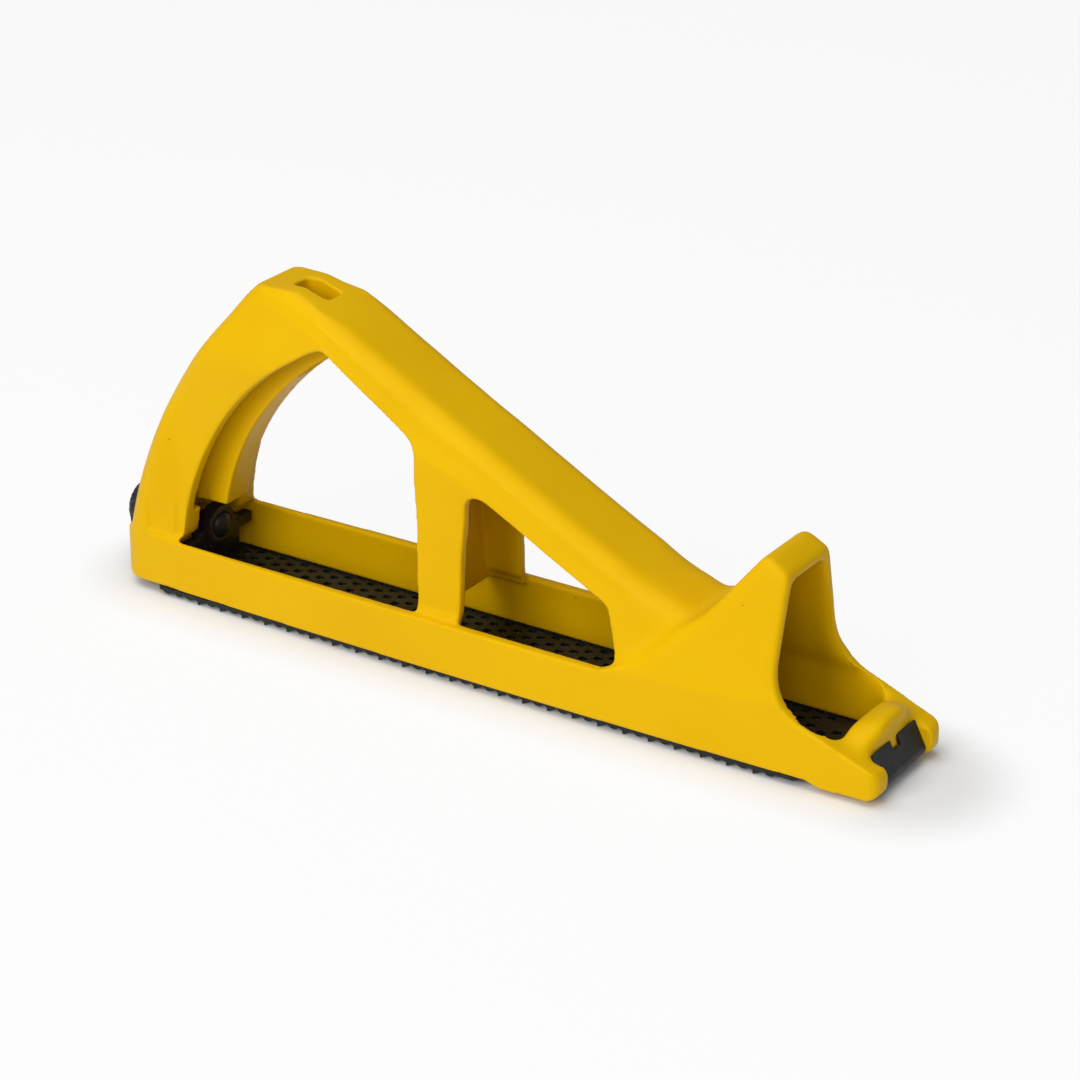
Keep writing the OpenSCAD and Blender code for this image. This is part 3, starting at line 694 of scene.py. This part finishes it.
# %% [markdown]
# Low on each side of the heel the mould leaves two shallow upright marks. The solid has them, but
# the smoothing takes them away, so they are pressed in again on the faces that look outwards.

# %% Marks on the heel
# Centre, width and depth of each mark, in millimetres
HEEL_MARKS = ((-122.4, 7.0, 0.65), (-114.9, 2.0, 0.45))
OUTWARDS = (0.5, 0.3)
MARK_ABOVE_RAIL = (1.6, 0.8)
MARK_END = (26.0, 10.0)
MARK_EDGE = 0.9


def press_heel(piece):
    points, normals = read_points(piece) / MM, read_points(piece, "normal")
    side = numpy.sign(points[:, 1])
    outer = step(normals[:, 1] * side, *OUTWARDS)
    high = step(points[:, 2] - RAIL_TOP, *MARK_ABOVE_RAIL) * (1 - step(points[:, 2], *MARK_END))
    for centre, width, depth in HEEL_MARKS:
        near = 1 - step(numpy.abs(points[:, 0] - centre), width / 2, MARK_EDGE)
        points[:, 1] -= numpy.sign(points[:, 1]) * outer * high * near * depth
    write_points(piece, points)


press_heel(body)
print("heel marks on each side:", len(HEEL_MARKS))

# %% [markdown]
# The even grid has far more faces than its smooth surface needs. Decimating removes most of them
# where the surface is flat, and the moulding then gets its finish and its place on the frame.

# %% Body moulding, thinned and finished
MOST_FACES = 190000


def thin(piece, most):
    lighter = piece.modifiers.new("thin", "DECIMATE")
    lighter.ratio = min(1.0, most / (2 * len(piece.data.polygons)))
    bake_modifiers(piece)


def shade_smooth(piece):
    for face in piece.data.polygons:
        face.use_smooth = True


thin(body, MOST_FACES)
shade_smooth(body)
body.data.materials.append(yellow)
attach(body, "root")
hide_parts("body")
print("body_moulding:", len(body.data.polygons), "faces")

# %% [markdown]
# The blade is perforated sheet steel with a thin black coat. Such a coat is never quite even, so its
# roughness and tone vary at the scale of the teeth. The hook and the bolt have the same kind of
# finish, in tones of their own.

# %% Blackened steel
LIGHTER, LIGHTER_BY = 1.8, 0.004
SMOOTHER, ROUGHER = 0.08, 0.10


def black_steel(name, tone, roughness, bump_scale):
    material, tree, shader = new_finish(name, tone, roughness)
    light = tuple(channel * LIGHTER + LIGHTER_BY for channel in tone)
    clouds = ramp(tree, noise(tree, scale=160.0, detail=4.0), [(0.35, tone), (0.75, light)])
    tree.links.new(clouds, shader.inputs["Base Color"])
    vary_roughness(tree, shader, noise(tree, scale=320.0, detail=3.0),
                   low=(0.3, roughness - SMOOTHER), high=(0.7, roughness + ROUGHER))
    add_bump(tree, shader, noise(tree, scale=bump_scale, detail=2.0), strength=0.15, distance=0.2 * MM)
    shader.inputs["Specular IOR Level"].default_value = 0.30
    return material


blackened = black_steel("blackened_steel", (0.007, 0.009, 0.0085), roughness=0.40, bump_scale=900.0)
painted = black_steel("black_painted_steel", (0.008, 0.007, 0.007), roughness=0.32, bump_scale=500.0)
bolt_black = black_steel("black_bolt", (0.010, 0.010, 0.011), roughness=0.36, bump_scale=700.0)
dress("blade", blackened)
dress("draw_bolt", bolt_black)

# %% [markdown]
# Along both edges of the blade the punched teeth run out over the side, so from the side the edge
# isn't a straight line but a row of small scallops. One short drum, squashed and set on its side,
# gives the shape of a scallop, and it is repeated at half the pitch of the rows.

# %% Scalloped edges of the blade
EDGE_PITCH = 4.25 * MM
EDGE_FROM, EDGE_TO = -119.0 * MM, 96.0 * MM
EDGE_Y = 19.3 * MM
EDGE_Z = 1.95 * MM
DRUM_R, DRUM_LENGTH = 1.85 * MM, 2.0 * MM
DRUM_TAPER, DRUM_SQUASH = 0.92, 0.72
DRUM_SIDES = 12


def add_scallop(teeth, side, x):
    drum = bmesh.ops.create_cone(teeth, cap_ends=True, segments=DRUM_SIDES, radius1=DRUM_R,
                                 radius2=DRUM_R * DRUM_TAPER, depth=DRUM_LENGTH)
    turn = Matrix.Rotation(math.pi / 2 * side, 4, "X")
    squash = Matrix.Diagonal((1, 1, DRUM_SQUASH, 1))
    place = Matrix.Translation((x, side * EDGE_Y, EDGE_Z))
    bmesh.ops.transform(teeth, verts=drum["verts"], matrix=place @ squash @ turn)


def make_edge_teeth():
    teeth = bmesh.new()
    count = int((EDGE_TO - EDGE_FROM) / EDGE_PITCH)
    for side in (-1, 1):
        for number in range(count + 1):
            add_scallop(teeth, side, EDGE_FROM + number * EDGE_PITCH)
    mesh = bpy.data.meshes.new("edge_teeth")
    bmesh.ops.recalc_face_normals(teeth, faces=teeth.faces)
    teeth.to_mesh(mesh)
    teeth.free()
    piece = bpy.data.objects.new("edge_teeth", mesh)
    bpy.context.scene.collection.objects.link(piece)
    piece.data.materials.append(blackened)
    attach(piece, "root")
    return piece


edge_teeth = make_edge_teeth()
print("edge_teeth:", len(edge_teeth.data.polygons), "faces")

# %% [markdown]
# The hook's ring and the knob both lie round the bolt's axis, and in the photograph both look a
# little smaller than packed. A merged copy of each has its rim drawn in towards that axis, and its
# sharp edges are bevelled. Dissolving flat faces first gives the bevel clean edges to follow.

# %% Copy with a smaller rim and rounded edges
BOLT_Z = 18.1 * MM
FLAT = math.radians(1.0)


def rounded_copy(node, name, draw_in, sharper_than, width, segments):
    piece = copy_of_node(node, name)
    shape = bmesh.new()
    shape.from_mesh(piece.data)
    bmesh.ops.dissolve_limit(shape, angle_limit=FLAT, verts=shape.verts, edges=shape.edges)
    for vertex in shape.verts:
        from_axis = Vector((0, vertex.co.y, vertex.co.z - BOLT_Z))
        vertex.co -= from_axis.normalized() * draw_in(vertex.co.x, from_axis.length)
    sharp = [edge for edge in shape.edges
             if edge.is_manifold and edge.calc_face_angle() > math.radians(sharper_than)]
    bmesh.ops.bevel(shape, geom=sharp, offset=width, offset_type="OFFSET", segments=segments,
                    profile=0.5, affect="EDGES", clamp_overlap=True, material=-1)
    bmesh.ops.triangulate(shape, faces=shape.faces)
    shape.to_mesh(piece.data)
    shape.free()
    shade_smooth(piece)
    print(name, "has", len(sharp), "bevelled edges and", len(piece.data.polygons), "faces")
    return piece


# %% [markdown]
# The hook is one casting: a ring boss for the bolt, a wing to each side and a claw. Only what lies
# close round the bolt is drawn in, so the wings' ends and the claw keep their places.

# %% Hook with a rounded ring
RING_X = -117.4 * MM
RING_DRAW = 1.15 * MM
RING_INSIDE, RING_OUTSIDE = 5 * MM, 9 * MM


def ring_draw(x, reach):
    on_ring = x > RING_X and RING_INSIDE < reach < RING_OUTSIDE
    return RING_DRAW if on_ring else 0.0


hook = rounded_copy("blade_hook", "hook_casting", ring_draw, sharper_than=50, width=0.45 * MM, segments=3)
hook.data.materials.append(painted)
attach(hook, "hook")
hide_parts("blade_hook")

# %% [markdown]
# The washer and the nut are zinc plated, the only bright metal on the tool. Plating is never even,
# so its tone drifts in soft patches.

# %% Plated steel
def plated_steel():
    material, tree, shader = new_finish("plated_steel", (0.50, 0.51, 0.53), 0.32, metallic=1.0)
    clouds = ramp(tree, noise(tree, scale=300.0, detail=4.0),
                  [(0.3, (0.42, 0.43, 0.46)), (0.7, (0.58, 0.58, 0.58))])
    tree.links.new(clouds, shader.inputs["Base Color"])
    add_bump(tree, shader, noise(tree, scale=1200.0, detail=3.0), strength=0.1, distance=0.1 * MM)
    return material


zinc = plated_steel()
dress("thrust_washer", zinc)
dress("knob_nut", zinc)

# %% [markdown]
# Only a sliver of the knob shows behind the heel. It is taken to be black moulded plastic with a
# fine texture like the body's. Its rim is drawn in, and its middle, where the nut sits, stays.

# %% Knob drawn in at the rim
KNOB_DRAW = 1.3 * MM
KNOB_BLACK = (0.012, 0.012, 0.013)


def black_plastic():
    material, tree, shader = new_finish("black_plastic", KNOB_BLACK, 0.45)
    vary_roughness(tree, shader, noise(tree, scale=240.0, detail=3.0), low=(0.3, 0.38), high=(0.7, 0.52))
    add_bump(tree, shader, noise(tree, scale=1800.0, detail=2.0), strength=0.12, distance=0.2 * MM)
    return material


def rim_draw(x, reach):
    return KNOB_DRAW * fade(reach / MM, 6.5, 9.5)


knob = rounded_copy("tension_knob", "knob_grip", rim_draw, sharper_than=40, width=0.3 * MM, segments=2)
knob.data.materials.append(black_plastic())
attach(knob, "knob")
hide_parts("tension_knob")

# %% [markdown]
# Colours are shown through the Standard view transform. The visual model has to keep
# the CAD model's size.

# %% View transform
bpy.context.scene.view_settings.view_transform = "Standard"
